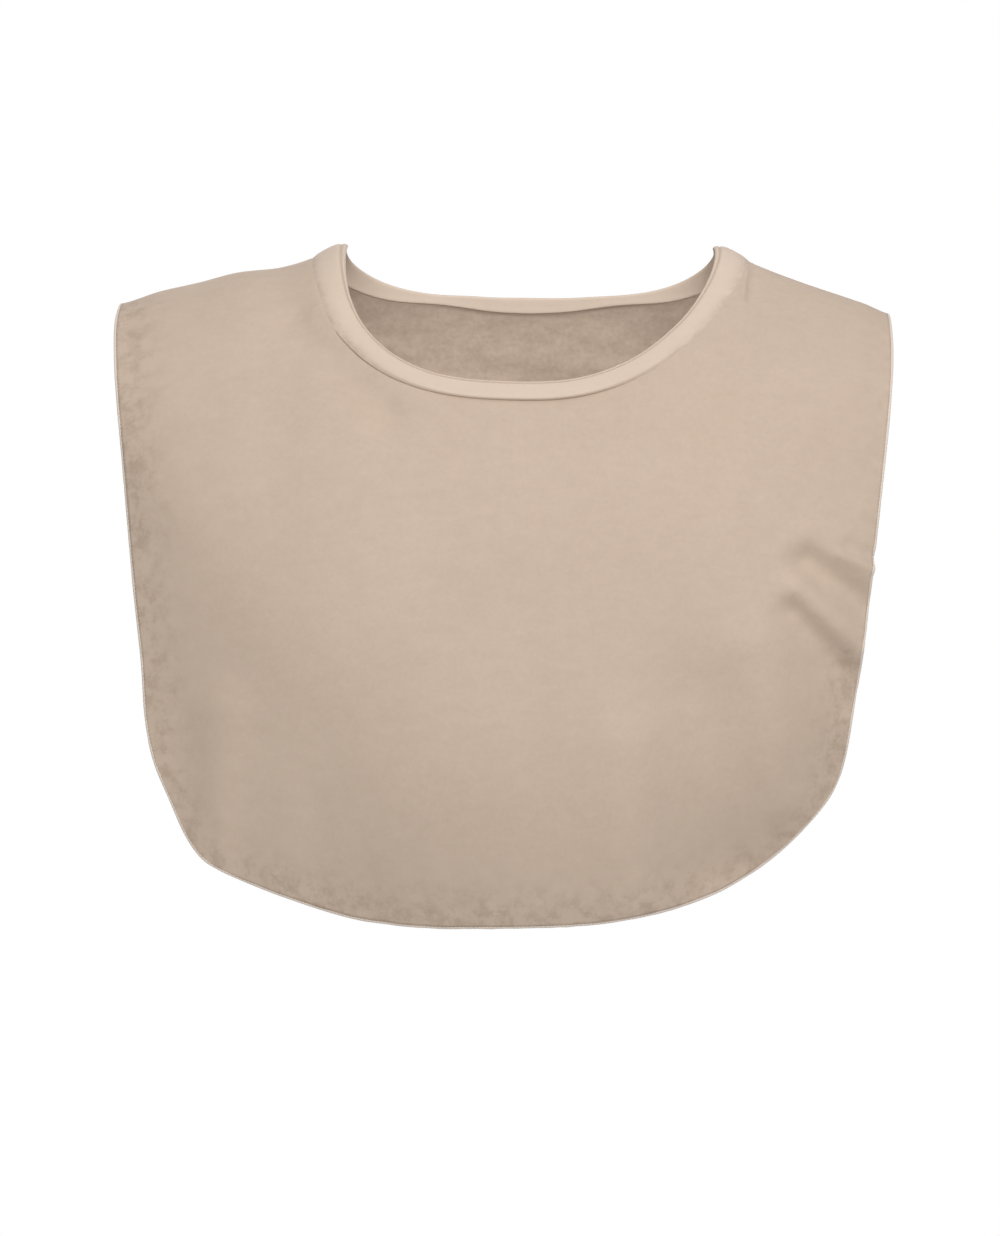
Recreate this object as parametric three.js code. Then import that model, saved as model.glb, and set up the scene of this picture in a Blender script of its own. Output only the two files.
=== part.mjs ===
// Crew neck dickey: a sleeveless, open-sided yoke of thin jersey that is pulled over the head.
// It is shown in the form it takes when worn, hanging from both shoulders.
// Millimetres: +X is the right of the front view, -Y is the front, +Z is up. The origin is the
// middle of the neck opening, level with the inner ends of the shoulders.

import * as THREE from "three";
import { LoftGeometry } from "three/addons/geometries/LoftGeometry.js";

// Cloth thicknesses, and the clearance at every seam
const CLOTH = 1.4;
const BAND_THICK = 2.4;
const HEM_ROLL = 2.4;
const SEAM_GAP = 0.3;

// How the cloth lies over the chest (front) and the shoulder blades (back).
// deep: how far it stands out at its fullest; fall: the drop over which it gets there, and
// round: how square that curve is, both at the middle and at the shoulder tips;
// tuck: how far the hem leans back in; length: the panel's drop against the front's outline;
// nape: how far the neck seam runs higher on both sides of the panel's middle.
const FRONT = {
  side: -1, deep: 112, fallMiddle: 225, fallTip: 72, roundMiddle: 1.7, roundTip: 1.9,
  tuck: 56, length: 1, nape: 0,
};
const BACK = {
  side: 1, deep: 95, fallMiddle: 150, fallTip: 70, roundMiddle: 2, roundTip: 2,
  tuck: 8, length: 0.97, nape: 3.2,
};
const SHOULDER_REACH = 200;
const NARROWING = 0.5; // share of the depth that is lost between the middle and a shoulder tip
const TUCK_LENGTH = 150;
const SIDE_BEND = 2.2; // powers by which depth and fall, roundness and the tuck set in
const ROUND_BEND = 1.6;
const TUCK_BEND = 1.8;

// The line along the top of both shoulders, bridged over the neck opening
const SHOULDER_LINE = [
  { x: -204, z: -21.5 }, { x: -181, z: -15.2 }, { x: -162, z: -10.8 }, { x: -142, z: -5.9 },
  { x: -123, z: -3.9 }, { x: -112, z: -0.8 }, { x: -104, z: 2 }, { x: -88, z: 4 },
  { x: -50, z: 6.2 }, { x: 0, z: 7 }, { x: 50, z: 5.8 }, { x: 88, z: 3.2 },
  { x: 104, z: 1 }, { x: 112, z: -3 }, { x: 123, z: -7.4 }, { x: 142, z: -14.2 },
  { x: 162, z: -20.8 }, { x: 180, z: -27 },
];

// The outer edge seen from the front, from the left shoulder tip round the hem to the right tip
const OUTER_EDGE = [
  { x: -201, z: -20.8 }, { x: -202.3, z: -30.6 }, { x: -201.3, z: -55.7 },
  { x: -198.3, z: -89.7 }, { x: -192.3, z: -157 }, { x: -188, z: -195.6 },
  { x: -186, z: -224.4 }, { x: -182.2, z: -243.7 }, { x: -174.5, z: -262.8 },
  { x: -165.8, z: -282 }, { x: -158.5, z: -291.6 }, { x: -148.4, z: -298 },
  { x: -116.5, z: -310.7 }, { x: -81.8, z: -320.7 }, { x: -45.9, z: -324.2 },
  { x: -15, z: -324.2 }, { x: 25.6, z: -322.7 }, { x: 49.5, z: -319.4 },
  { x: 73.4, z: -313.8 }, { x: 97.3, z: -303.9 }, { x: 121.3, z: -286.8 },
  { x: 142.6, z: -263.5 }, { x: 148, z: -253.4 }, { x: 151.1, z: -243.4 },
  { x: 154.4, z: -224.2 }, { x: 160.1, z: -185.9 }, { x: 168.1, z: -118.9 },
  { x: 173.9, z: -70.4 }, { x: 175.9, z: -45.6 }, { x: 176, z: -25.8 },
];
const LEFT_CORNER = 0.325; // shares of the outer edge at which its sides turn into the hem
const RIGHT_CORNER = 0.71;

// The neck seam seen from above: a squared oval, with its own squareness in each quarter
const NECK = {
  half: 105, front: 75.6, back: 57.2, squareLeft: 3.02, squareRight: 2.32, squareBack: 2.75,
};
const NAPE_AT = 45; // where the seam beside the nape runs highest, and how far that spreads
const NAPE_SPREAD = 24;
const BAND_RISE = { shoulder: 27, front: 57, back: 72 }; // degrees the band stands up from level
const BAND_WIDTH = { shoulder: 12.2, front: 10.1, back: 7.5 };
const RISE_BEND = 2; // powers by which the rise and the width turn from shoulder to middle
const WIDTH_BEND = { front: 3, back: 0.85 };

// The band's section: share of its width from the seam, and share of half its thickness
const BAND_SECTION = [
  { across: 0, out: 0.9 }, { across: 0, out: -0.9 }, { across: 0.5, out: -1 },
  { across: 0.94, out: -0.7 }, { across: 1, out: 0 }, { across: 0.94, out: 0.7 },
  { across: 0.7, out: 1.1 }, { across: 0.3, out: 1.1 },
];

// Folds of the front panel: a crest line from one end to the other seen from the front,
// how far the fold spreads to each side, and how far it stands out (or in, below zero)
const FOLDS = [
  { x1: 134, z1: -136, x2: 160, z2: -154, spread: 6, height: 1.5 },
  { x1: 131, z1: -149, x2: 160, z2: -169, spread: 8, height: -5.5 },
  { x1: 127, z1: -162, x2: 158, z2: -189, spread: 8, height: 4.5 },
  { x1: 125, z1: -173, x2: 155, z2: -212, spread: 9, height: -5 },
  { x1: -148, z1: -222, x2: -153, z2: -292, spread: 13, height: 3 },
  { x1: -106, z1: -240, x2: -92, z2: -300, spread: 24, height: -1.2 },
  { x1: 48, z1: -238, x2: 50, z2: -312, spread: 16, height: 3 },
  { x1: 76, z1: -215, x2: 86, z2: -290, spread: 26, height: -7 },
  { x1: 106, z1: -190, x2: 124, z2: -262, spread: 16, height: 4 },
  { x1: 108, z1: -302, x2: 158, z2: -268, spread: 38, height: -8 },
  { x1: -114, z1: -34, x2: -70, z2: -76, spread: 11, height: -3 },
];

// Cells of each panel: along each shoulder, along the neck seam, and from top to hem
const FRONT_CELLS = { left: 12, neck: 34, right: 10, rows: 24 };
const BACK_CELLS = { left: 8, neck: 26, right: 7, rows: 16 };
const TOP_CROWDING = 1.45; // rows lie closer together where the cloth turns over the shoulder
const HEM_SIDES = 6;

const { lerp, clamp, degToRad } = THREE.MathUtils;

const shoulderHeights = new THREE.CubicInterpolant(
  SHOULDER_LINE.map((row) => row.x),
  SHOULDER_LINE.map((row) => row.z),
  1,
);

function shoulderHeight(x) {
  return shoulderHeights.evaluate(x)[0];
}

// The size of the cloth's curve at x: its fullest depth, the drop to it and its roundness
function curveAt(panel, x) {
  const aside = Math.min(Math.abs(x) / SHOULDER_REACH, 1);
  return {
    aside,
    deep: panel.deep * (1 - NARROWING * aside ** SIDE_BEND),
    fall: lerp(panel.fallMiddle, panel.fallTip, aside ** SIDE_BEND),
    round: lerp(panel.roundMiddle, panel.roundTip, aside ** ROUND_BEND),
  };
}

// How far a fold lifts the cloth at a place seen from the front
function foldLift(fold, x, z) {
  const along = new THREE.Vector2(fold.x2 - fold.x1, fold.z2 - fold.z1);
  const place = new THREE.Vector2(x - fold.x1, z - fold.z1);
  const share = clamp(place.dot(along) / along.lengthSq(), 0, 1);
  const distance = place.sub(along.multiplyScalar(share)).length();
  return fold.height * Math.exp(-((distance / fold.spread) ** 2));
}

// How far the cloth stands out from the shoulder line, at x and a drop below that line
function standOut(panel, x, drop) {
  const { aside, deep, fall, round } = curveAt(panel, x);
  const share = clamp(drop / fall, 0, 1);
  const full = deep * (1 - (1 - share) ** round) ** (1 / round);
  const below = Math.max(drop - fall, 0) / TUCK_LENGTH;
  const lean = panel.tuck * (1 - aside ** 2) * below ** TUCK_BEND;
  const folds = panel === FRONT ? FOLDS : [];
  const z = shoulderHeight(x) - drop;
  const lift = folds.reduce((sum, fold) => sum + foldLift(fold, x, z), 0);
  return SEAM_GAP / 2 + full - lean + lift;
}

// The drop at which the plain curve reaches a given depth
function dropAtDepth(panel, x, depth) {
  const { deep, fall, round } = curveAt(panel, x);
  return fall * (1 - (1 - (depth / deep) ** round) ** (1 / round));
}

// The cloth's outer surface and its outward normal, at a place seen from the front
function clothAt(panel, { x, z }) {
  const step = 0.05;
  const drop = Math.max(shoulderHeight(x) - z, 0);
  const depth = standOut(panel, x, drop);
  const downwards = (standOut(panel, x, drop + step) - depth) / step;
  const sideways = (standOut(panel, x + step, drop) - depth) / step;
  const slope = (shoulderHeight(x + step) - shoulderHeight(x)) / step;
  return {
    point: new THREE.Vector3(x, panel.side * depth, shoulderHeight(x) - drop),
    normal: new THREE.Vector3(-sideways - downwards * slope, panel.side, downwards).normalize(),
  };
}

const outerEdge = new THREE.CatmullRomCurve3(
  OUTER_EDGE.map((row) => new THREE.Vector3(row.x, 0, row.z)),
);

// A place on the outer edge, moved in from it, trimmed to the shoulder line and to the length
function edgePlace(panel, share, inset) {
  const place = outerEdge.getPointAt(share);
  const along = outerEdge.getTangentAt(share);
  const x = place.x - inset * along.z;
  const top = shoulderHeight(x);
  const drop = Math.max(top - place.z - inset * along.x, 0);
  return { x, z: top - panel.length * drop };
}

// How much higher a panel's neck seam runs beside the nape
function napeLift(panel, x) {
  return panel.nape * Math.exp(-(((Math.abs(x) - NAPE_AT) / NAPE_SPREAD) ** 2));
}

// Half of the neck seam seen from the front, from the left shoulder to the right one
function neckPlaces(panel, cells) {
  const reach = panel === FRONT ? NECK.front : NECK.back;
  const fine = [];
  for (let degrees = 180; degrees >= 0; degrees -= 1) {
    const cosine = Math.cos(degToRad(degrees));
    const squareFront = cosine < 0 ? NECK.squareLeft : NECK.squareRight;
    const power = 2 / (panel === FRONT ? squareFront : NECK.squareBack);
    const x = NECK.half * Math.sign(cosine) * Math.abs(cosine) ** power;
    const depth = reach * Math.abs(Math.sin(degToRad(degrees))) ** power;
    const drop = dropAtDepth(panel, x, depth) - napeLift(panel, x);
    fine.push(new THREE.Vector3(x, depth, shoulderHeight(x) - drop));
  }
  return new THREE.CatmullRomCurve3(fine).getSpacedPoints(cells).map(({ x, z }) => ({ x, z }));
}

// Places along a shoulder line between two values of x
function shoulderPlaces(from, to, cells) {
  return Array.from({ length: cells }, (_, i) => {
    const x = lerp(from, to, i / cells);
    return { x, z: shoulderHeight(x) };
  });
}

// The four edges of a panel as lists of places: the top and hem from left to right, the sides
// from top to hem. The sides and hem lie inset from the outer edge.
function panelEdges(panel, cells, inset) {
  const neck = neckPlaces(panel, cells.neck);
  const leftTip = edgePlace(panel, 0, inset);
  const rightTip = edgePlace(panel, 1, inset);
  const top = [
    ...shoulderPlaces(leftTip.x, neck[0].x, cells.left),
    ...neck,
    ...shoulderPlaces(rightTip.x, neck[cells.neck].x, cells.right).reverse(),
  ];
  const across = top.length - 1;
  const shares = Array.from({ length: cells.rows + 1 }, (_, j) => (j / cells.rows) ** TOP_CROWDING);
  return {
    neck,
    top,
    shares,
    left: shares.map((share) => edgePlace(panel, share * LEFT_CORNER, inset)),
    right: shares.map((share) => edgePlace(panel, 1 - share * (1 - RIGHT_CORNER), inset)),
    hem: top.map((_, i) => edgePlace(panel, lerp(LEFT_CORNER, RIGHT_CORNER, i / across), inset)),
  };
}

// A place inside a panel, blended from its four edges
function blendedPlace(edges, i, j) {
  const last = edges.top.length - 1;
  const rows = edges.shares.length - 1;
  const u = i / last;
  const v = edges.shares[j];
  const blend = (axis) =>
    lerp(edges.top[i][axis], edges.hem[i][axis], v) +
    lerp(edges.left[j][axis], edges.right[j][axis], u) -
    lerp(
      lerp(edges.top[0][axis], edges.hem[0][axis], v),
      lerp(edges.top[last][axis], edges.hem[last][axis], v),
      u,
    );
  if (i === 0) return edges.left[j];
  if (i === last) return edges.right[j];
  if (j === 0) return edges.top[i];
  if (j === rows) return edges.hem[i];
  return { x: blend("x"), z: blend("z") };
}

// A panel: a thin box of cells, bent onto the cloth's surface
function panelGeometry(panel, cells) {
  const inset = HEM_ROLL + SEAM_GAP;
  const edges = panelEdges(panel, cells, inset);
  const across = edges.top.length - 1;
  const geometry = new THREE.BoxGeometry(1, 1, 1, across, cells.rows, 1);
  const position = geometry.getAttribute("position");
  for (let index = 0; index < position.count; index += 1) {
    const fromLeft = 0.5 - panel.side * position.getX(index);
    const i = Math.round(fromLeft * across);
    const j = Math.round((0.5 - position.getY(index)) * cells.rows);
    const inner = position.getZ(index) < 0;
    const { point, normal } = clothAt(panel, blendedPlace(edges, i, j));
    if (inner) point.addScaledVector(normal, -CLOTH);
    position.setXYZ(index, point.x, point.y, point.z);
  }
  geometry.computeVertexNormals();
  return geometry;
}

// The sections of a closed ring: each profile is set square to the path at its own station
function ringGeometry(stations, profileAt) {
  const sections = stations.map((station, i) => {
    const before = stations[(i + stations.length - 1) % stations.length].point;
    const after = stations[(i + 1) % stations.length].point;
    const along = new THREE.Vector3().subVectors(after, before).normalize();
    return profileAt(station, along);
  });
  return new LoftGeometry([...sections, sections[0]]);
}

// Round the neck seam: the front from left to right, then the back from right to left
function neckStations() {
  const front = neckPlaces(FRONT, FRONT_CELLS.neck).map((place) => clothAt(FRONT, place));
  const back = neckPlaces(BACK, BACK_CELLS.neck).map((place) => clothAt(BACK, place));
  return [...front.slice(0, -1), ...back.reverse().slice(0, -1)];
}

// The neckband: a folded strip that stands up and in from the neck seam
function neckbandGeometry() {
  return ringGeometry(neckStations(), ({ point, normal }, along) => {
    const inward = new THREE.Vector3(-along.y, along.x, 0).normalize();
    const end = inward.y > 0 ? "front" : "back";
    const turned = Math.abs(inward.y);
    const rise = degToRad(lerp(BAND_RISE.shoulder, BAND_RISE[end], turned ** RISE_BEND));
    const strip = lerp(BAND_WIDTH.shoulder, BAND_WIDTH[end], turned ** WIDTH_BEND[end]);
    const width = strip - napeLift(end === "front" ? FRONT : BACK, point.x);
    const across = inward.multiplyScalar(Math.cos(rise)).setZ(Math.sin(rise));
    const out = new THREE.Vector3().crossVectors(along, across).normalize();
    return BAND_SECTION.map((corner) =>
      point
        .clone()
        .addScaledVector(normal, -CLOTH / 2)
        .addScaledVector(across, SEAM_GAP + corner.across * width)
        .addScaledVector(out, (corner.out * BAND_THICK) / 2),
    );
  });
}

// Round the outer edge: the front from the left tip to the right tip, then the back
function hemStations() {
  const halves = [[FRONT, FRONT_CELLS], [BACK, BACK_CELLS]].map(([panel, cells]) => {
    const { left, hem, right } = panelEdges(panel, cells, HEM_ROLL / 2);
    const places = [...left, ...hem.slice(1, -1), ...right.reverse()];
    return places.map((place) => clothAt(panel, place));
  });
  return [...halves[0].slice(0, -1), ...halves[1].reverse().slice(0, -1)];
}

// The hem: one narrow rolled edge all the way round the outer edge
function hemGeometry() {
  return ringGeometry(hemStations(), ({ point, normal }, along) => {
    const across = new THREE.Vector3().crossVectors(along, normal).normalize();
    return Array.from({ length: HEM_SIDES }, (_, i) => {
      const angle = (2 * Math.PI * i) / HEM_SIDES;
      return point
        .clone()
        .addScaledVector(normal, -CLOTH / 2 + (Math.cos(angle) * HEM_ROLL) / 2)
        .addScaledVector(across, (Math.sin(angle) * HEM_ROLL) / 2);
    });
  });
}

function clothMesh(name, geometry, color) {
  const material = new THREE.MeshStandardMaterial({ color, roughness: 0.9, metalness: 0 });
  const mesh = new THREE.Mesh(geometry, material);
  mesh.name = name;
  return mesh;
}

const dickey = new THREE.Group();
dickey.add(
  clothMesh("front_panel", panelGeometry(FRONT, FRONT_CELLS), 0xc9b6a5),
  clothMesh("back_panel", panelGeometry(BACK, BACK_CELLS), 0xc9b6a5),
  clothMesh("neckband", neckbandGeometry(), 0xd6c3b2),
  clothMesh("hem_edge", hemGeometry(), 0xc4b09f),
);

export default dickey;
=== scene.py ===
"""A crew neck dickey in thin beige jersey, in the form it takes when worn.

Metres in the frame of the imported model: +X is the right of the front view, -Y the front, +Z up.
The tables are in millimetres, read off the front view at its estimated scale. The depth from front
to back and the whole back are estimates.
"""

import math

import bmesh
import bpy
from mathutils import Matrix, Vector, noise


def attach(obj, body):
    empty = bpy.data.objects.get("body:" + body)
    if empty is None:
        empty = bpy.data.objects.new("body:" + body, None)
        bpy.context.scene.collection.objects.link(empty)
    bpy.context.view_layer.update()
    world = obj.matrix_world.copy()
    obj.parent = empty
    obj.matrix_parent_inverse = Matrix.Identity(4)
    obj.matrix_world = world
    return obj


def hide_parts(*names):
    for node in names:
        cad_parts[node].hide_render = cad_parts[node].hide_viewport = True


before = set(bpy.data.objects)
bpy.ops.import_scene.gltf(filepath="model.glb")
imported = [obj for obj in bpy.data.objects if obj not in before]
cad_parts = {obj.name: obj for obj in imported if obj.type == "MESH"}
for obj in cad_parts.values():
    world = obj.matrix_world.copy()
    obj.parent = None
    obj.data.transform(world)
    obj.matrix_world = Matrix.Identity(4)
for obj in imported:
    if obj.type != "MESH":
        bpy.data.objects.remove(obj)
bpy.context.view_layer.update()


# Front panel: one piece of thin cotton jersey, cut with a round hem. It hangs from both shoulders
# over the chest, is sewn to the back panel along the shoulders and to the neckband round the neck.
# It slipped towards the left, which pulls drag folds into its right side.

MM = 0.001
SHOULDER_LINE = [
    (-204, -21.5), (-181, -15.2), (-162, -10.8), (-142, -5.9), (-123, -3.9), (-112, -0.8),
    (-104, 2), (-88, 4), (-50, 6.2), (0, 7), (50, 5.8), (88, 3.2),
    (104, 1), (112, -3), (123, -7.4), (142, -14.2), (162, -20.8), (180, -27),
]
OUTER_EDGE = [
    (-201, -20.8), (-202.3, -30.6), (-201.3, -55.7), (-198.3, -89.7), (-192.3, -157),
    (-188, -195.6), (-186, -224.4), (-182.2, -243.7), (-174.5, -262.8), (-165.8, -282),
    (-158.5, -291.6), (-148.4, -298), (-116.5, -310.7), (-81.8, -320.7), (-45.9, -324.2),
    (-15, -324.2), (25.6, -322.7), (49.5, -319.4), (73.4, -313.8), (97.3, -303.9),
    (121.3, -286.8), (142.6, -263.5), (148, -253.4), (151.1, -243.4), (154.4, -224.2),
    (160.1, -185.9), (168.1, -118.9), (173.9, -70.4), (175.9, -45.6), (176, -25.8),
]
LEFT_CORNER, RIGHT_CORNER = 0.325, 0.71
NECK_HALF_WIDTH = 105
SEAM_HALF_GAP = 0.02
PANEL_WALL = 1.2
PANEL_INSET = 0.9
TOP_CROWDING = 1.45

# The drape loses this share of its depth towards a shoulder tip, and the powers say how depth and
# fall, its roundness and the lean of the hem set in
SHOULDER_REACH = 200
NARROWING = 0.5
SIDE_BEND, ROUND_BEND, TUCK_BEND = 2.2, 1.6, 1.8
TUCK_LENGTH = 150

# Rumples: their size across and down, and how much lower the fine ones are than the broad ones
BROAD_RUMPLE, FINE_RUMPLE = (46, 58), (13, 17)
FINE_SHARE = 0.35
# Puckers round the neck seam: how far they reach, where they are highest and how many there are.
# The seam's own dip is narrower, and so is the one along the shoulder.
NECK_SCALE = 80
PUCKER_REACH, PUCKER_PEAK, PUCKER_LENGTH = 30, 6, 25
PUCKER_HEIGHT, PUCKER_COUNT = 0.5, 14
NECK_DIP_WIDTH = 1.9
SHOULDER_DIP, SHOULDER_DIP_WIDTH = 0.4, 1.3
# Where the neck seam of the back runs highest beside the nape, and how far that spreads
NAPE_AT, NAPE_SPREAD = 45, 24
# How far the painted shade of the edges reaches, and the quieter part of it at the upper right
EDGE_SHADE_REACH = 20
QUIET_EDGE_SHADE, QUIET_ABOVE = 0.35, -190

# Drag folds at the right side, the hanging folds over the hem, and the hollow beside the neck:
# both ends of each crest line, how far it spreads and how high it stands (or how deep it sinks)
FOLDS = [
    (134, -136, 160, -154, 6, 1.5), (131, -149, 160, -169, 8, -5.5),
    (127, -162, 158, -189, 8, 4.5), (125, -173, 155, -212, 9, -5),
    (-148, -222, -153, -292, 13, 3), (-106, -240, -92, -300, 24, -1.2),
    (48, -238, 50, -312, 16, 3), (76, -215, 86, -290, 26, -7), (106, -190, 124, -262, 16, 4),
    (108, -302, 158, -268, 38, -8), (-114, -34, -70, -76, 11, -3),
]
# Finer creases of the front: the sharp one over the drag folds and the pleat beside the neckband
CREASES = [
    (147, -145, 164.5, -152.5, 2.4, 1.3), (151.5, -140.5, 163, -145.5, 3, -1.2),
    (105.5, -5, 102.5, -20, 1.7, 0.9), (108.5, -3, 106, -22, 1.8, -0.6),
    (-60, -84, 50, -93, 11, -1.4), (-112, -36, -70, -78, 9, -1.2),
]
FRONT = {
    "side": -1, "deep": 112, "fall": (225, 72), "round": (1.7, 1.9), "tuck": 56, "length": 1,
    "folds": FOLDS, "creases": CREASES, "neck_reach": 75.6, "squareness": (3.02, 2.32),
    "nape": 0, "cells": (48, 136, 40, 192), "rumple": 0.35, "seam_dip": (0.15, 0.75),
}


def line_height(x):
    """The height of the shoulder line: a cubic through its rows, straight at both ends."""
    last = len(SHOULDER_LINE) - 1
    k = next((n for n in range(1, last) if x < SHOULDER_LINE[n][0]), last)
    (x0, z0), (x1, z1) = SHOULDER_LINE[k - 1], SHOULDER_LINE[k]
    before = SHOULDER_LINE[k - 2] if k > 1 else (2 * x0 - x1, z1)
    after = SHOULDER_LINE[k + 1] if k < last else (2 * x1 - x0, z0)
    share = (x - x0) / (x1 - x0)
    pull_before = (x1 - x0) / 2 / (x0 - before[0])
    pull_after = (x1 - x0) / 2 / (after[0] - x1)
    square, cube = share**2, share**3
    return (
        before[1] * pull_before * (2 * square - cube - share)
        + z0 * ((1 + pull_before) * cube - (1.5 + 2 * pull_before) * square)
        + z0 * ((pull_before - 0.5) * share + 1)
        + z1 * ((1.5 + pull_after) * square - (1 + pull_after) * cube + 0.5 * share)
        + after[1] * pull_after * (cube - square)
    )


def mix(a, b, share):
    return a + (b - a) * share


def fold_lift(folds, x, z):
    """How far the folds lift the cloth at a place seen from the front."""
    lift = 0
    for x1, z1, x2, z2, spread, height in folds:
        along_x, along_z = x2 - x1, z2 - z1
        share = ((x - x1) * along_x + (z - z1) * along_z) / (along_x**2 + along_z**2)
        share = min(max(share, 0), 1)
        away = math.hypot(x - x1 - share * along_x, z - z1 - share * along_z) / spread
        if away < 3:
            lift += height * math.exp(-(away**2))
    return lift


def curve_at(panel, x):
    """The cloth's curve at x: its fullest depth, the drop to it and how square it is."""
    aside = min(abs(x) / SHOULDER_REACH, 1)
    deep = panel["deep"] * (1 - NARROWING * aside**SIDE_BEND)
    fall = mix(*panel["fall"], aside**SIDE_BEND)
    return aside, deep, fall, mix(*panel["round"], aside**ROUND_BEND)


def stand_out(panel, x, drop):
    """How far the cloth stands out from the shoulder line, at x and a drop below that line."""
    aside, deep, fall, squareness = curve_at(panel, x)
    share = min(drop / fall, 1)
    full = deep * (1 - (1 - share) ** squareness) ** (1 / squareness)
    below = max(drop - fall, 0) / TUCK_LENGTH
    lean = panel["tuck"] * (1 - aside**2) * below**TUCK_BEND
    return SEAM_HALF_GAP + full - lean + fold_lift(panel["folds"], x, line_height(x) - drop)


def surface_detail(panel, x, z, depth):
    """Small relief of the worn jersey: rumples, creases, and puckers by the seams."""
    side = panel["side"]
    broad = noise.noise(Vector((x / BROAD_RUMPLE[0], z / BROAD_RUMPLE[1], side * 7.3)))
    fine = noise.noise(Vector((x / FINE_RUMPLE[0], z / FINE_RUMPLE[1], side * 2.9)))
    lift = panel["rumple"] * (broad + FINE_SHARE * fine) + fold_lift(panel["creases"], x, z)
    power = panel["squareness"][x > 0]
    oval = (abs(x) / NECK_HALF_WIDTH) ** power + (max(depth, 0) / panel["neck_reach"]) ** power
    from_neck = max(oval ** (1 / power) - 1, 0) * NECK_SCALE
    if from_neck < PUCKER_REACH:
        turn = math.atan2(depth, x) * PUCKER_COUNT
        pucker = noise.noise(Vector((turn, side * 3.1, from_neck / PUCKER_LENGTH)))
        swell = from_neck / PUCKER_PEAK
        lift += PUCKER_HEIGHT * pucker * swell * math.exp(1 - swell)
        middle = math.sin(math.atan2(max(depth, 0), x)) ** 4
        dip = mix(*panel["seam_dip"], middle)
        lift -= dip * math.exp(-((from_neck / NECK_DIP_WIDTH) ** 2))
    lift -= SHOULDER_DIP * math.exp(-((depth / SHOULDER_DIP_WIDTH) ** 2))
    return lift


def cloth_at(panel, x, z):
    """A place on the cloth's outer side, in millimetres, and the way that it faces there."""
    step = 0.05
    line = line_height(x)
    drop = max(line - z, 0)
    depth = stand_out(panel, x, drop)
    down = (stand_out(panel, x, drop + step) - depth) / step
    sideways = (stand_out(panel, x + step, drop) - depth) / step
    slope = (line_height(x + step) - line) / step
    faces = Vector((-sideways - down * slope, panel["side"], down)).normalized()
    place = Vector((x, panel["side"] * depth, line - drop))
    return place + faces * surface_detail(panel, x, line - drop, depth), faces


def outline_points(steps=16):
    """Places close together on the smooth outer edge, each with its distance from the first."""
    rows = [Vector(row) for row in OUTER_EDGE]
    rows = [2 * rows[0] - rows[1], *rows, 2 * rows[-1] - rows[-2]]
    points = []
    for a, b, c, d in zip(rows, rows[1:], rows[2:], rows[3:]):
        t0, t1, t2 = (math.sqrt((q - p).length) for p, q in ((a, b), (b, c), (c, d)))
        start = t1 * ((b - a) / t0 - (c - a) / (t0 + t1) + (c - b) / t1)
        end = t1 * ((c - b) / t1 - (d - b) / (t1 + t2) + (d - c) / t2)
        for k in range(steps):
            t = k / steps
            bend = t**2 * (3 * (c - b) - 2 * start - end) + t**3 * (2 * (b - c) + start + end)
            points.append(b + t * start + bend)
    points.append(rows[-2])
    lengths = [0.0]
    for p, q in zip(points, points[1:]):
        lengths.append(lengths[-1] + (q - p).length)
    return points, lengths


edge_points, edge_lengths = outline_points()


def edge_place(panel, share, inset):
    """A place on the outer edge, moved in from it, trimmed to the shoulders and the length."""
    target = min(max(share, 0), 1) * edge_lengths[-1]
    low, high = 0, len(edge_lengths) - 1
    while high - low > 1:
        middle = (low + high) // 2
        low, high = (middle, high) if edge_lengths[middle] <= target else (low, middle)
    along = edge_points[high] - edge_points[low]
    place = edge_points[low] + along * (target - edge_lengths[low]) / along.length
    along.normalize()
    x = place.x - inset * along.y
    top = line_height(x)
    return x, top - panel["length"] * max(top - place.y - inset * along.x, 0)


def nape_lift(panel, x):
    """How much higher a panel's neck seam runs on both sides of its middle."""
    return panel["nape"] * math.exp(-(((abs(x) - NAPE_AT) / NAPE_SPREAD) ** 2))


def neck_places(panel, cells):
    """The neck seam of a panel seen from the front, from the left shoulder to the right one."""
    fine = []
    for step in range(721):
        turn = math.pi * (1 - step / 720)
        power = 2 / panel["squareness"][math.cos(turn) > 0]
        x = NECK_HALF_WIDTH * math.copysign(abs(math.cos(turn)) ** power, math.cos(turn))
        depth = panel["neck_reach"] * abs(math.sin(turn)) ** power
        _, deep, fall, squareness = curve_at(panel, x)
        drop = fall * (1 - (1 - (depth / deep) ** squareness) ** (1 / squareness))
        fine.append(Vector((x, depth, line_height(x) - drop + nape_lift(panel, x))))
    lengths = [0.0]
    for p, q in zip(fine, fine[1:]):
        lengths.append(lengths[-1] + (q - p).length)
    places = []
    k = 0
    for cell in range(cells + 1):
        target = lengths[-1] * cell / cells
        while k < len(fine) - 2 and lengths[k + 1] < target:
            k += 1
        spot = fine[k].lerp(fine[k + 1], (target - lengths[k]) / (lengths[k + 1] - lengths[k]))
        places.append((spot.x, spot.z))
    return places


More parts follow.
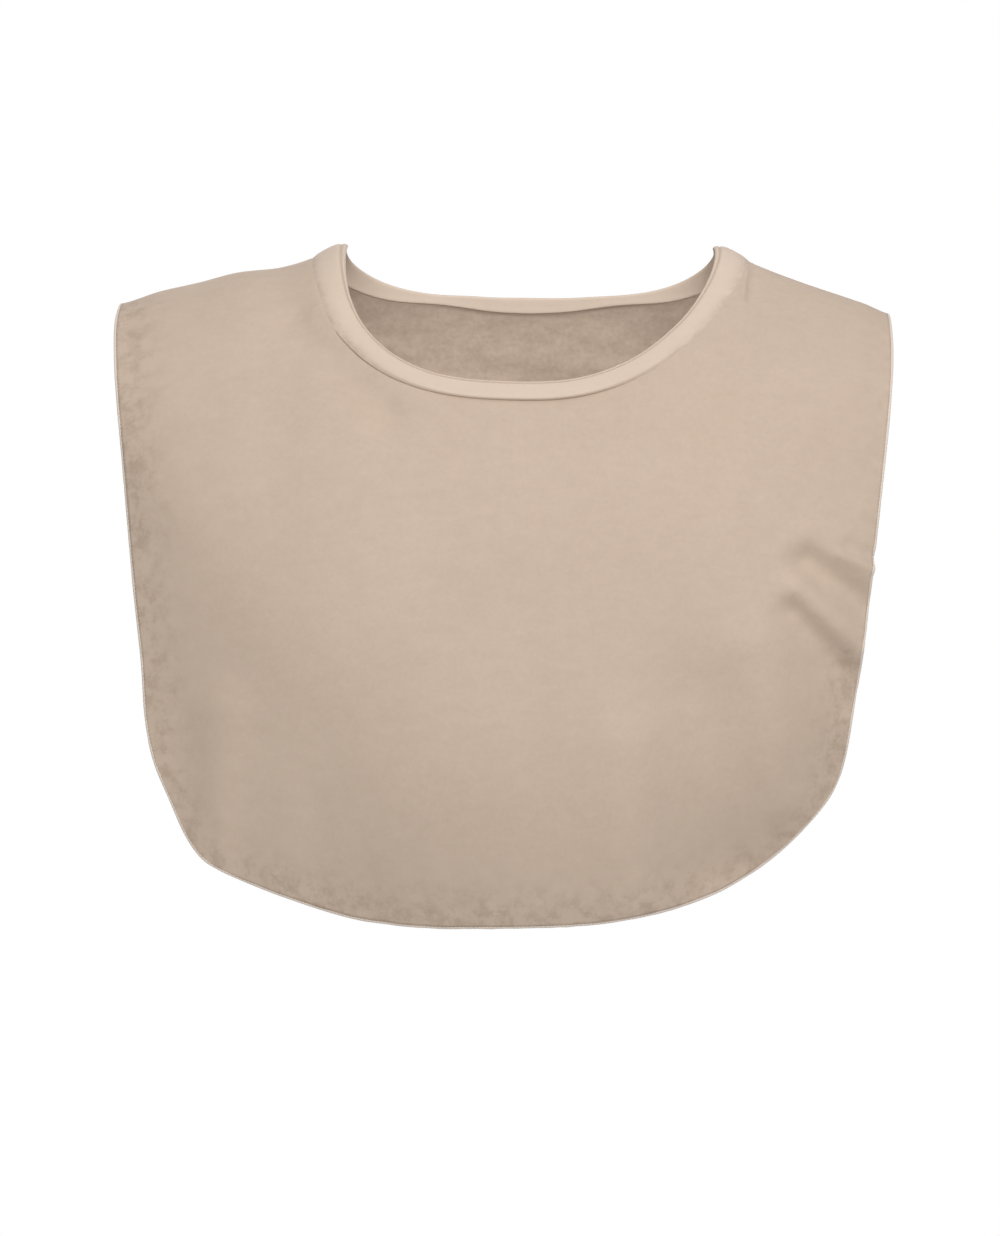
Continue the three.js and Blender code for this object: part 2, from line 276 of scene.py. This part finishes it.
def panel_edges(panel, inset, cells):
    """A panel's top, left, right and hem as lists of places, and the share of each row."""
    left, across, right, rows = cells
    neck = neck_places(panel, across)
    left_tip, right_tip = edge_place(panel, 0, inset)[0], edge_place(panel, 1, inset)[0]
    top = [mix(left_tip, neck[0][0], n / left) for n in range(left)]
    top = [(x, line_height(x)) for x in top] + neck
    outwards = [mix(neck[-1][0], right_tip, (n + 1) / right) for n in range(right)]
    top += [(x, line_height(x)) for x in outwards]
    shares = [(n / rows) ** TOP_CROWDING for n in range(rows + 1)]
    last = len(top) - 1
    return {
        "top": top,
        "left": [edge_place(panel, s * LEFT_CORNER, inset) for s in shares],
        "right": [edge_place(panel, 1 - s * (1 - RIGHT_CORNER), inset) for s in shares],
        "hem": [
            edge_place(panel, mix(LEFT_CORNER, RIGHT_CORNER, n / last), inset)
            for n in range(last + 1)
        ],
        "shares": shares,
    }


def blended_place(edges, i, j, axis):
    """A place inside a panel, blended from its four edges."""
    top, hem, left, right = (edges[name] for name in ("top", "hem", "left", "right"))
    u, v = i / (len(top) - 1), edges["shares"][j]
    corners = mix(
        mix(top[0][axis], hem[0][axis], v), mix(top[-1][axis], hem[-1][axis], v), u
    )
    between = mix(top[i][axis], hem[i][axis], v)
    return between + mix(left[j][axis], right[j][axis], u) - corners


def jersey_panel(name, panel):
    """A panel: a grid of cells laid on the drape, with its knit mapped in metres of cloth."""
    edges = panel_edges(panel, PANEL_INSET, panel["cells"])
    across, rows = len(edges["top"]) - 1, panel["cells"][3]
    mesh = bmesh.new()
    bmesh.ops.create_grid(mesh, x_segments=across, y_segments=rows, size=0.5)
    knit = mesh.verts.layers.float_vector.new("knit")
    worn = mesh.verts.layers.float.new("worn")
    shaded = mesh.verts.layers.float.new("shaded")
    columns = [[None] * (rows + 1) for _ in range(across + 1)]
    for vertex in mesh.verts:
        i = round((0.5 - panel["side"] * vertex.co.x) * across)
        j = round((0.5 - vertex.co.y) * rows)
        columns[i][j] = vertex
    for i, column in enumerate(columns):
        length = None
        for j, vertex in enumerate(column):
            x, z = (blended_place(edges, i, j, axis) for axis in (0, 1))
            place, _ = cloth_at(panel, x, z)
            if length is None:
                length = seam = math.hypot(place.y, line_height(place.x) - place.z)
            else:
                length += math.hypot(place.y - before.y, place.z - before.z)
            before = place
            vertex.co = place * MM
            vertex[knit] = (place.x * MM, -length * MM, 0)
            # The worn layer is painted shade: the panel darkens in spots near its outer edges, for
            # the shadows of small puckers there, and less so at the upper right.
            aside = min(x - edges["left"][j][0], edges["right"][j][0] - x)
            from_edge = min(aside, z - edges["hem"][i][1])
            edge_shade_share = QUIET_EDGE_SHADE if x > 0 and z > QUIET_ABOVE else 1
            vertex[worn] = edge_shade_share * math.exp(-((from_edge / EDGE_SHADE_REACH) ** 2))
            # Painted shadow: a dark line along the neck seam, darkest at the middle, under the band's
            # lower edge.
            vertex[shaded] = math.exp(-(((x - 5) / 62) ** 4) - ((length - seam) / 1.4) ** 2)
    uv = mesh.loops.layers.uv.new("knit_map")
    for face in mesh.faces:
        face.smooth = True
        for loop in face.loops:
            loop[uv].uv = loop.vert[knit].xy
    mesh.verts.layers.float_vector.remove(knit)
    return finished_piece(name, mesh)


def finished_piece(name, mesh):
    """The object of a finished bmesh, at the origin."""
    data = bpy.data.meshes.new(name)
    mesh.to_mesh(data)
    mesh.free()
    piece = bpy.data.objects.new(name, data)
    bpy.context.scene.collection.objects.link(piece)
    return piece


class Field:
    """A value that varies over a surface. Sums and products of it add Math nodes."""

    def __init__(self, finish, socket):
        self.finish = finish
        self.socket = socket

    def sum_up(self, operation, first, second=0.0):
        return self.finish.add("Math", {"operation": operation}, {0: first, 1: second})

    def __add__(self, other):
        return self.sum_up("ADD", self, other)

    def __sub__(self, other):
        return self.sum_up("SUBTRACT", self, other)

    def __rsub__(self, other):
        return self.sum_up("SUBTRACT", other, self)

    def __mul__(self, other):
        return self.sum_up("MULTIPLY", self, other)

    def __truediv__(self, other):
        return self.sum_up("DIVIDE", self, other)

    def __rtruediv__(self, other):
        return self.sum_up("DIVIDE", other, self)

    def __pow__(self, other):
        return self.sum_up("POWER", self, other)

    __radd__ = __add__
    __rmul__ = __mul__

    def __abs__(self):
        return self.sum_up("ABSOLUTE", self)

    def part(self):
        return self.sum_up("FRACT", self)

    def sine(self):
        return self.sum_up("SINE", self)


class Finish:
    """A material in the making: add() makes one node, with its settings before its inputs."""

    def __init__(self, name):
        self.material = bpy.data.materials.new(name)
        self.material.use_nodes = True
        self.tree = self.material.node_tree
        self.shader = self.tree.nodes["Principled BSDF"]

    def join(self, value, socket):
        if isinstance(value, Field):
            self.tree.links.new(value.socket, socket)
        else:
            socket.default_value = value

    def add(self, kind, settings, inputs, output=0):
        node = self.tree.nodes.new("ShaderNode" + kind)
        for name, value in settings.items():
            setattr(node, name, value)
        for name, value in inputs.items():
            self.join(value, node.inputs[name])
        return Field(self, node.outputs[output])

    def shade(self, **inputs):
        for name, value in inputs.items():
            self.join(value, self.shader.inputs[name.replace("_", " ")])


WALE_WIDTH = 0.00062
COURSE_HEIGHT = 0.00046


def jersey(name, pale, deep, painted_shade_tone, mottle=1, slant=1.7):
    """Single jersey: small V stitches, or low arcs on the purl side, under a soft, mottled nap.

    It turns to a darker tone of painted shade: in spots near the edges, the more it is mottled, and
    fully along the seam lines.
    """
    finish = Finish(name)
    place = finish.add("TexCoord", {}, {}, "Object")
    cloth = finish.add("UVMap", {"uv_map": "knit_map"}, {})
    across = finish.add("SeparateXYZ", {}, {0: cloth}, "X") / WALE_WIDTH
    down = finish.add("SeparateXYZ", {}, {0: cloth}, "Y") / COURSE_HEIGHT
    leg = abs(across.part() - 0.5)
    strand = (((down + leg * slant) * math.tau).sine() + 1) * 0.5
    body = 1 - (abs(leg - 0.25) * 4) ** 2
    stitches = body * (strand * 0.5 + 0.5)

    def cloud(scale, detail, roughness=0.55, squeeze=(1, 1, 1)):
        spot = finish.add("VectorMath", {"operation": "MULTIPLY"}, {0: place, 1: squeeze})
        return finish.add(
            "TexNoise", {}, {"Vector": spot, "Scale": scale, "Detail": detail, "Roughness": roughness}
        )

    nap = cloud(1500, 3, 0.7)
    fibres = cloud(420, 4, 0.65)
    streaks = cloud(190, 4, 0.6, (0.5, 1, 1))
    blotches = cloud(150, 5, 0.65)
    wash = cloud(14, 3)
    tone = (wash - 0.5) * 0.8 + (streaks - 0.5) * 0.7 * mottle + (fibres - 0.5) * 0.9 * mottle
    tone = tone + (blotches - 0.5) * (mottle - 0.6) + stitches * 0.05 + 0.48
    knitted = finish.add(
        "Mix", {"data_type": "RGBA", "clamp_factor": True}, {0: tone, 6: deep, 7: pale}, 2
    )
    # Painted shade: the worn and shaded layers darken the cloth near its edges and along the seams.
    worn = finish.add("Attribute", {"attribute_name": "worn"}, {}, 2)
    spots = (blotches - 0.5) * 5 * mottle + (fibres - 0.5) * 2 * mottle + 1 - 0.6 * mottle
    shaded = finish.add("Attribute", {"attribute_name": "shaded"}, {}, 2)
    painted_shade = worn * spots + shaded * 1.3
    colour = finish.add(
        "Mix", {"data_type": "RGBA", "clamp_factor": True}, {0: painted_shade, 6: knitted, 7: painted_shade_tone}, 2
    )
    relief = stitches * 0.4 + nap * 0.35 + fibres * 0.6
    normal = finish.add("Bump", {}, {"Strength": 0.5, "Distance": 0.00022, "Height": relief})
    finish.shade(
        Base_Color=colour,
        Roughness=0.8 + nap * 0.14,
        Normal=normal,
        Sheen_Weight=0.22,
        Sheen_Roughness=0.55,
        Sheen_Tint=(0.96, 0.87, 0.79, 1),
        Specular_IOR_Level=0.18,
    )
    return finish.material


PANEL_PALE = (0.600, 0.478, 0.381, 1)
PANEL_DEEP = (0.520, 0.406, 0.318, 1)
# The darkest tone is painted shade, for the edges and the seams.
PANEL_PAINTED_SHADE = (0.465, 0.357, 0.276, 1)
panel_jersey = jersey("panel_jersey", PANEL_PALE, PANEL_DEEP, PANEL_PAINTED_SHADE)
# Painted light: the purl side's tones are painted much paler than the knit side, brightening the
# inside where it lies in shade.
PURL_PALE = (0.770, 0.630, 0.515, 1)
PURL_DEEP = (0.590, 0.468, 0.371, 1)
purl_side_painted_light = jersey("purl_side_painted_light", PURL_PALE, PURL_DEEP, PANEL_PAINTED_SHADE, mottle=1.6, slant=0.35)


def cloth_wall(piece):
    """Gives a panel its thickness, inwards from the modelled side, with the purl side inside."""
    wall = piece.modifiers.new("wall", "SOLIDIFY")
    wall.thickness = PANEL_WALL * MM
    wall.offset = -1
    wall.material_offset = 1
    piece.data.materials.append(panel_jersey)
    piece.data.materials.append(purl_side_painted_light)


front = jersey_panel("jersey_front", FRONT)
cloth_wall(front)
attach(front, "root")
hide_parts("front_panel")


# Back panel: the same jersey over the shoulder blades, a little shorter. Only the strip inside the
# neck shows in the photograph, where the cloth is lightly rumpled; the rest is finished plainly.

BACK = {
    "side": 1, "deep": 95, "fall": (150, 70), "round": (2, 2), "tuck": 8, "length": 0.97,
    "folds": [(-70, -120, -96, -290, 26, 2.5), (58, -110, 84, -285, 28, 2.5)],
    "creases": [
        (-62, -52, -14, -60, 5, -0.8), (-20, -44, 40, -50, 4.5, -0.6), (-86, -36, -58, -44, 4, -0.6),
        (8, -64, 62, -58, 6, 0.7), (-48, -68, 6, -74, 6, 0.6),
    ],
    "neck_reach": 57.2, "squareness": (2.75, 2.75), "nape": 3.2, "cells": (32, 104, 28, 128),
    "rumple": 0.55, "seam_dip": (0.15, 0),
}

back = jersey_panel("jersey_back", BACK)
cloth_wall(back)
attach(back, "root")
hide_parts("back_panel")


# Neckband: a strip of the same jersey, folded in two lengthwise and sewn on stretched, so that it
# stands up round the neck and draws its edge in. Its fold is the rim. Its lower edge is crisp at
# the middle of the front and round the back, and lies softly on the cloth over the shoulders.

BAND_RISE = {"shoulder": 27, "front": 57, "back": 72}
BAND_WIDTH = {"shoulder": 12.2, "front": 10.1, "back": 7.5}
WIDTH_BEND = {"front": 3, "back": 0.85}
CRISP_BEND = {"front": 8, "back": 0.5}
BAND_STATIONS = {"front": 300, "back": 240}
SEAM_GAP = 0.3
# Section of the band: distance from the seam, and distance out from its middle layer. The outer
# face comes first, from the seam to the rim, then the inner face back to the seam.
CRISP_FACE = [
    (-0.75, 0.0), (-0.85, 0.55), (-0.6, 1.0), (0.0, 1.32), (1.2, 1.55), (3.4, 1.66), (6.2, 1.55),
]
SOFT_FACE = [
    (-5.0, -1.3), (-4.2, -0.7), (-2.6, 0.1), (-0.8, 0.66), (1.2, 1.05), (3.6, 1.36), (6.2, 1.45),
]
RIM = [
    (8.6, 1.4), (9.9, 1.3), (10.35, 0.65), (10.75, 0.55), (11.15, 1.05), (11.8, 0.95),
    (12.35, 0.35), (12.3, -0.35), (11.7, -0.85), (10.4, -1.0), (8.0, -1.1), (5.0, -1.2),
]
LEDGE = [(2.0, -1.35), (0.6, -1.6), (-0.2, -1.6), (-0.5, -1.2), (-0.4, -0.6)]
RIM_WIDTH = 12.35
GROOVE = (9, 10)
INNER_FACE = 14
# The strip is wider by this much over the shoulders, where its rim curls over inwards. It narrows
# soon at the front, and only near the nape at the back: an inner and an outer power for each.
CURL_WIDTH = 4.0
CURL_BEND = {"front": (1, 2), "back": (5, 1)}
CURL_DROP = 0.035
CURL_FROM = 8.5
# How unevenly the rim was folded: in width, and as a share of its thickness
RIM_WANDER, RIM_SWELL = 0.3, 0.06
# How far the band's painted shade reaches from its soft lower edge
SEAM_SHADE_WIDTH = 3.6
RIM_SHADE = 0.8


def neck_stations():
    """Places round the neck seam: the front from left to right, then the back from the right."""
    front_half = neck_places(FRONT, BAND_STATIONS["front"])
    back_half = neck_places(BACK, BAND_STATIONS["back"])
    stations = [(FRONT, *place) for place in front_half[:-1]]
    return stations + [(BACK, *place) for place in reversed(back_half[1:])]


def ring(name, stations, sides, corner_at, inner_from=99):
    """A closed ring: a grid of stations by sides, bent round until its edges meet.

    The sides from inner_from on take the second material.
    """
    mesh = bmesh.new()
    bmesh.ops.create_grid(mesh, x_segments=stations, y_segments=sides, size=0.5)
    knit = mesh.verts.layers.float_vector.new("knit")
    # The worn and shaded layers carry painted shade into the material.
    worn = mesh.verts.layers.float.new("worn")
    shaded = mesh.verts.layers.float.new("shaded")
    order = mesh.verts.layers.int.new("order")
    for vertex in mesh.verts:
        station = round((vertex.co.x + 0.5) * stations)
        side = round((vertex.co.y + 0.5) * sides)
        place, length, width, painted_shade, shade = corner_at(station % stations, side % sides)
        vertex[knit] = (length + (station == stations) * ring_length, width, 0)
        vertex[worn], vertex[shaded], vertex[order] = painted_shade, shade, side
        vertex.co = place
    uv = mesh.loops.layers.uv.new("knit_map")
    for face in mesh.faces:
        face.smooth = True
        for loop in face.loops:
            loop[uv].uv = loop.vert[knit].xy
        face.material_index = int(min(v[order] for v in face.verts) >= inner_from)
    mesh.verts.layers.float_vector.remove(knit)
    mesh.verts.layers.int.remove(order)
    bmesh.ops.remove_doubles(mesh, verts=mesh.verts, dist=1e-7)
    bmesh.ops.recalc_face_normals(mesh, faces=mesh.faces)
    return finished_piece(name, mesh)


def ring_path(places):
    """The direction along a closed ring at each place, and its length up to there, in metres."""
    after = places[1:] + places[:1]
    before = places[-1:] + places[:-1]
    along = [(q - p).normalized() for p, q in zip(before, after)]
    lengths = [0.0]
    for p, q in zip(places, after):
        lengths.append(lengths[-1] + (q - p).length * MM)
    return along, lengths


neck_seam = []
for panel, x, z in neck_stations():
    place, faces = cloth_at({**panel, "creases": [], "rumple": 0}, x, z)
    neck_seam.append(place + faces * (0.5 - PANEL_WALL / 2))
neck_along, neck_lengths = ring_path(neck_seam)
ring_length = neck_lengths[-1]


def band_corner(station, side):
    """A corner of the band's section, with the places of its knit along and across the strip."""
    along = neck_along[station]
    inward = Vector((-along.y, along.x, 0)).normalized()
    end = "front" if inward.y > 0 else "back"
    rise = math.radians(mix(BAND_RISE["shoulder"], BAND_RISE[end], inward.y**2))
    strip = mix(BAND_WIDTH["shoulder"], BAND_WIDTH[end], abs(inward.y) ** WIDTH_BEND[end])
    strip -= nape_lift(FRONT if end == "front" else BACK, neck_seam[station].x)
    within, beyond = CURL_BEND[end]
    strip += CURL_WIDTH * (1 - abs(inward.y) ** within) ** beyond
    across = inward * math.cos(rise) + Vector((0, 0, math.sin(rise)))
    out = along.cross(across).normalized()
    crisp = abs(inward.y) ** CRISP_BEND[end]
    face = [
        (mix(soft[0], sharp[0], crisp), mix(soft[1], sharp[1], crisp))
        for soft, sharp in zip(SOFT_FACE, CRISP_FACE)
    ]
    width, height = (face + RIM + LEDGE)[side]
    travel = neck_lengths[station] * 1000
    bend = noise.noise(Vector((math.cos(travel / 90), math.sin(travel / 90), 0.5)) * 5)
    if width > 2:
        width = 2 + (width - 2) * (strip - 2 + RIM_WANDER * bend) / (RIM_WIDTH - 2)
    height *= 1 + RIM_SWELL * noise.noise(Vector((travel / 16, 3.7, 0)))
    height -= CURL_DROP * (1 - abs(inward.y)) ** 2 * max(width - CURL_FROM, 0) ** 2
    place = neck_seam[station] + across * (SEAM_GAP + width) + out * height
    # Painted shade: the band darkens towards the panel's tone near its soft lower edge, where it lies
    # on the cloth.
    from_fold = max(width + 3, 0) / SEAM_SHADE_WIDTH
    painted_shade = (1 - crisp) * math.exp(-(from_fold**2)) * (side < len(SOFT_FACE))
    # Painted shade in the groove under the rim, and a painted shadow line along the crisp lower edge
    # at the middle of the front and round the back.
    shade = RIM_SHADE if side in GROOVE else abs(inward.y) ** CRISP_BEND["front"] * (side < 3)
    return place * MM, neck_lengths[station], side * 1.2 * MM, painted_shade, shade


band_sides = len(SOFT_FACE) + len(RIM) + len(LEDGE)
band = ring("crew_neckband", len(neck_seam), band_sides, band_corner, INNER_FACE)
rounding = band.modifiers.new("rounding", "SUBSURF")
rounding.levels = rounding.render_levels = 1
# Painted light: the band is the same jersey as the panels, yet its tones are painted paler, and those
# of its inner face, where the front light falls, paler still.
BAND_PALE = (0.710, 0.580, 0.475, 1)
BAND_DEEP = (0.630, 0.506, 0.408, 1)
BAND_PAINTED_SHADE = (0.540, 0.424, 0.334, 1)
INSIDE_PALE = (0.800, 0.665, 0.550, 1)
INSIDE_DEEP = (0.700, 0.572, 0.465, 1)
band.data.materials.append(jersey("band_jersey_painted_light", BAND_PALE, BAND_DEEP, BAND_PAINTED_SHADE, mottle=0.6))
band.data.materials.append(jersey("band_inside_painted_light", INSIDE_PALE, INSIDE_DEEP, BAND_PAINTED_SHADE, mottle=0.6))
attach(band, "root")
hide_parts("neckband")


# Hem edge: the raw edge of both panels, rolled under and overlocked with matching thread, one
# narrow ridged roll all the way round the sides and the hem.

ROLL_WIDTH = 0.95
ROLL_HEIGHT = 0.72
ROLL_SIDES = 10
STITCH = 1.9
HEM_STATIONS = 1700


def hem_stations():
    """Places round the outer edge, four to a stitch: the front from the left tip, then the back."""
    places = []
    for panel in (FRONT, BACK):
        half = []
        for n in range(HEM_STATIONS + 1):
            x, z = edge_place(panel, n / HEM_STATIONS, ROLL_WIDTH)
            place, faces = cloth_at(panel, x, z)
            half.append((place - faces * PANEL_WALL / 2, faces))
        places += half[:-1] if panel is FRONT else half[:0:-1]
    return places


hem_line = hem_stations()
hem_along, hem_lengths = ring_path([place for place, _ in hem_line])
ring_length = hem_lengths[-1]


def hem_corner(station, side):
    """A corner of the rolled edge, raised where an overlock thread crosses it on the slant."""
    place, faces = hem_line[station]
    across = hem_along[station].cross(faces).normalized()
    turn = math.tau * side / ROLL_SIDES
    travel = hem_lengths[station] * 1000
    thread = 0.5 + 0.5 * math.cos(math.tau * travel / STITCH + turn)
    swell = 0.9 + 0.1 * thread + 0.05 * noise.noise(Vector((travel / 7, 1.3, 0)))
    place = place + faces * math.cos(turn) * ROLL_HEIGHT * swell
    place += across * math.sin(turn) * ROLL_WIDTH * swell
    return place * MM, hem_lengths[station], turn * ROLL_WIDTH * MM, 0, 0


hem = ring("overlocked_edge", len(hem_line), ROLL_SIDES, hem_corner)


def thread_finish(name, pale, deep):
    """Spun overlock thread: a fine slanting ply with a dull sheen."""
    finish = Finish(name)
    place = finish.add("TexCoord", {}, {}, "Object")
    cloth = finish.add("UVMap", {"uv_map": "knit_map"}, {})
    along = finish.add("SeparateXYZ", {}, {0: cloth}, "X")
    round_it = finish.add("SeparateXYZ", {}, {0: cloth}, "Y")
    ply = ((along / 0.00042 + round_it / 0.0006) * math.tau).sine() * 0.5 + 0.5
    lint = finish.add("TexNoise", {}, {"Vector": place, "Scale": 600.0, "Detail": 3.0})
    tone = ply * 0.45 + lint * 0.9 - 0.2
    colour = finish.add(
        "Mix", {"data_type": "RGBA", "clamp_factor": True}, {0: tone, 6: deep, 7: pale}, 2
    )
    relief = ply * 0.6 + lint * 0.4
    normal = finish.add("Bump", {}, {"Strength": 0.45, "Distance": 0.0002, "Height": relief})
    finish.shade(
        Base_Color=colour,
        Roughness=0.72 + lint * 0.15,
        Normal=normal,
        Sheen_Weight=0.2,
        Specular_IOR_Level=0.25,
    )
    return finish.material


# Painted highlight: the thread's tones are painted paler than the cloth's, so the edge reads pale.
hem.data.materials.append(
    thread_finish("overlock_thread_painted_light", (0.84, 0.74, 0.65, 1), (0.72, 0.61, 0.52, 1))
)
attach(hem, "root")
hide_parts("hem_edge")


# Stage: a pale floor far below, a soft key light from the upper right front, soft fills from the
# front, above, behind and below, and a level camera with a long lens in front of the chest. The
# floor's own glow keeps it pale in every view and doesn't reach the dickey.

floor_mesh = bmesh.new()
bmesh.ops.create_circle(floor_mesh, cap_ends=True, segments=96, radius=11.5)
bmesh.ops.translate(floor_mesh, verts=floor_mesh.verts, vec=(0, 0, -1.675))
floor = finished_piece("studio_floor", floor_mesh)
paper = Finish("studio_paper")
grain = paper.add("TexNoise", {}, {"Scale": 3.0, "Detail": 2.0})
tint = paper.add(
    "Mix", {"data_type": "RGBA"}, {0: grain, 6: (0.90, 0.90, 0.90, 1), 7: (0.94, 0.94, 0.94, 1)}, 2
)
paper.shade(Base_Color=tint, Roughness=0.9, Emission_Color=tint, Emission_Strength=0.5)
floor.data.materials.append(paper.material)
floor.visible_diffuse = floor.visible_glossy = False


def softbox(name, place, target, width, height, power):
    """A rectangular soft light, aimed at a place on the dickey."""
    lamp = bpy.data.lights.new(name, "AREA")
    lamp.shape = "RECTANGLE"
    lamp.size, lamp.size_y = width, height
    lamp.energy = power
    light = bpy.data.objects.new(name, lamp)
    light.location = place
    aim = Vector(target) - Vector(place)
    light.rotation_euler = aim.to_track_quat("-Z", "Y").to_euler()
    light.visible_camera = False
    bpy.context.scene.collection.objects.link(light)


softbox("key_light", (0.6, -2.4, 2.0), (0, -0.05, -0.15), 1.0, 1.0, 62)
softbox("front_fill", (-0.1, -3.4, 0.1), (0, -0.05, -0.15), 1.8, 1.8, 36)
softbox("top_light", (0.1, 1.3, 1.9), (0, 0, 0), 1.5, 1.0, 10)
softbox("back_fill", (-0.4, 3.2, 0.7), (0, 0.05, -0.15), 1.8, 1.8, 42)
softbox("low_fill", (0, -0.3, -1.6), (0, -0.05, -0.2), 3.0, 3.0, 12)

world = bpy.data.worlds.new("studio")
world.use_nodes = True
bpy.context.scene.world = world
sky = world.node_tree.nodes["Background"]
sky.inputs["Color"].default_value = (1, 1, 1, 1)
sky.inputs["Strength"].default_value = 0.27
seen = world.node_tree.nodes.new("ShaderNodeBackground")
seen.inputs["Color"].default_value = (1, 1, 1, 1)
path = world.node_tree.nodes.new("ShaderNodeLightPath")
choice = world.node_tree.nodes.new("ShaderNodeMixShader")
links = world.node_tree.links
links.new(path.outputs["Is Camera Ray"], choice.inputs["Fac"])
links.new(sky.outputs["Background"], choice.inputs[1])
links.new(seen.outputs["Background"], choice.inputs[2])
links.new(choice.outputs["Shader"], world.node_tree.nodes["World Output"].inputs["Surface"])

bpy.context.scene.view_settings.view_transform = "Standard"

lens = bpy.data.cameras.new("front_camera")
lens.sensor_width = 36
lens.lens = 190.2
lens.clip_end = 50
camera = bpy.data.objects.new("front_camera", lens)
camera.location = (-0.0149, -3.2, -0.1754)
camera.rotation_euler = (math.radians(90), 0, 0)
bpy.context.scene.collection.objects.link(camera)
bpy.context.scene.camera = camera
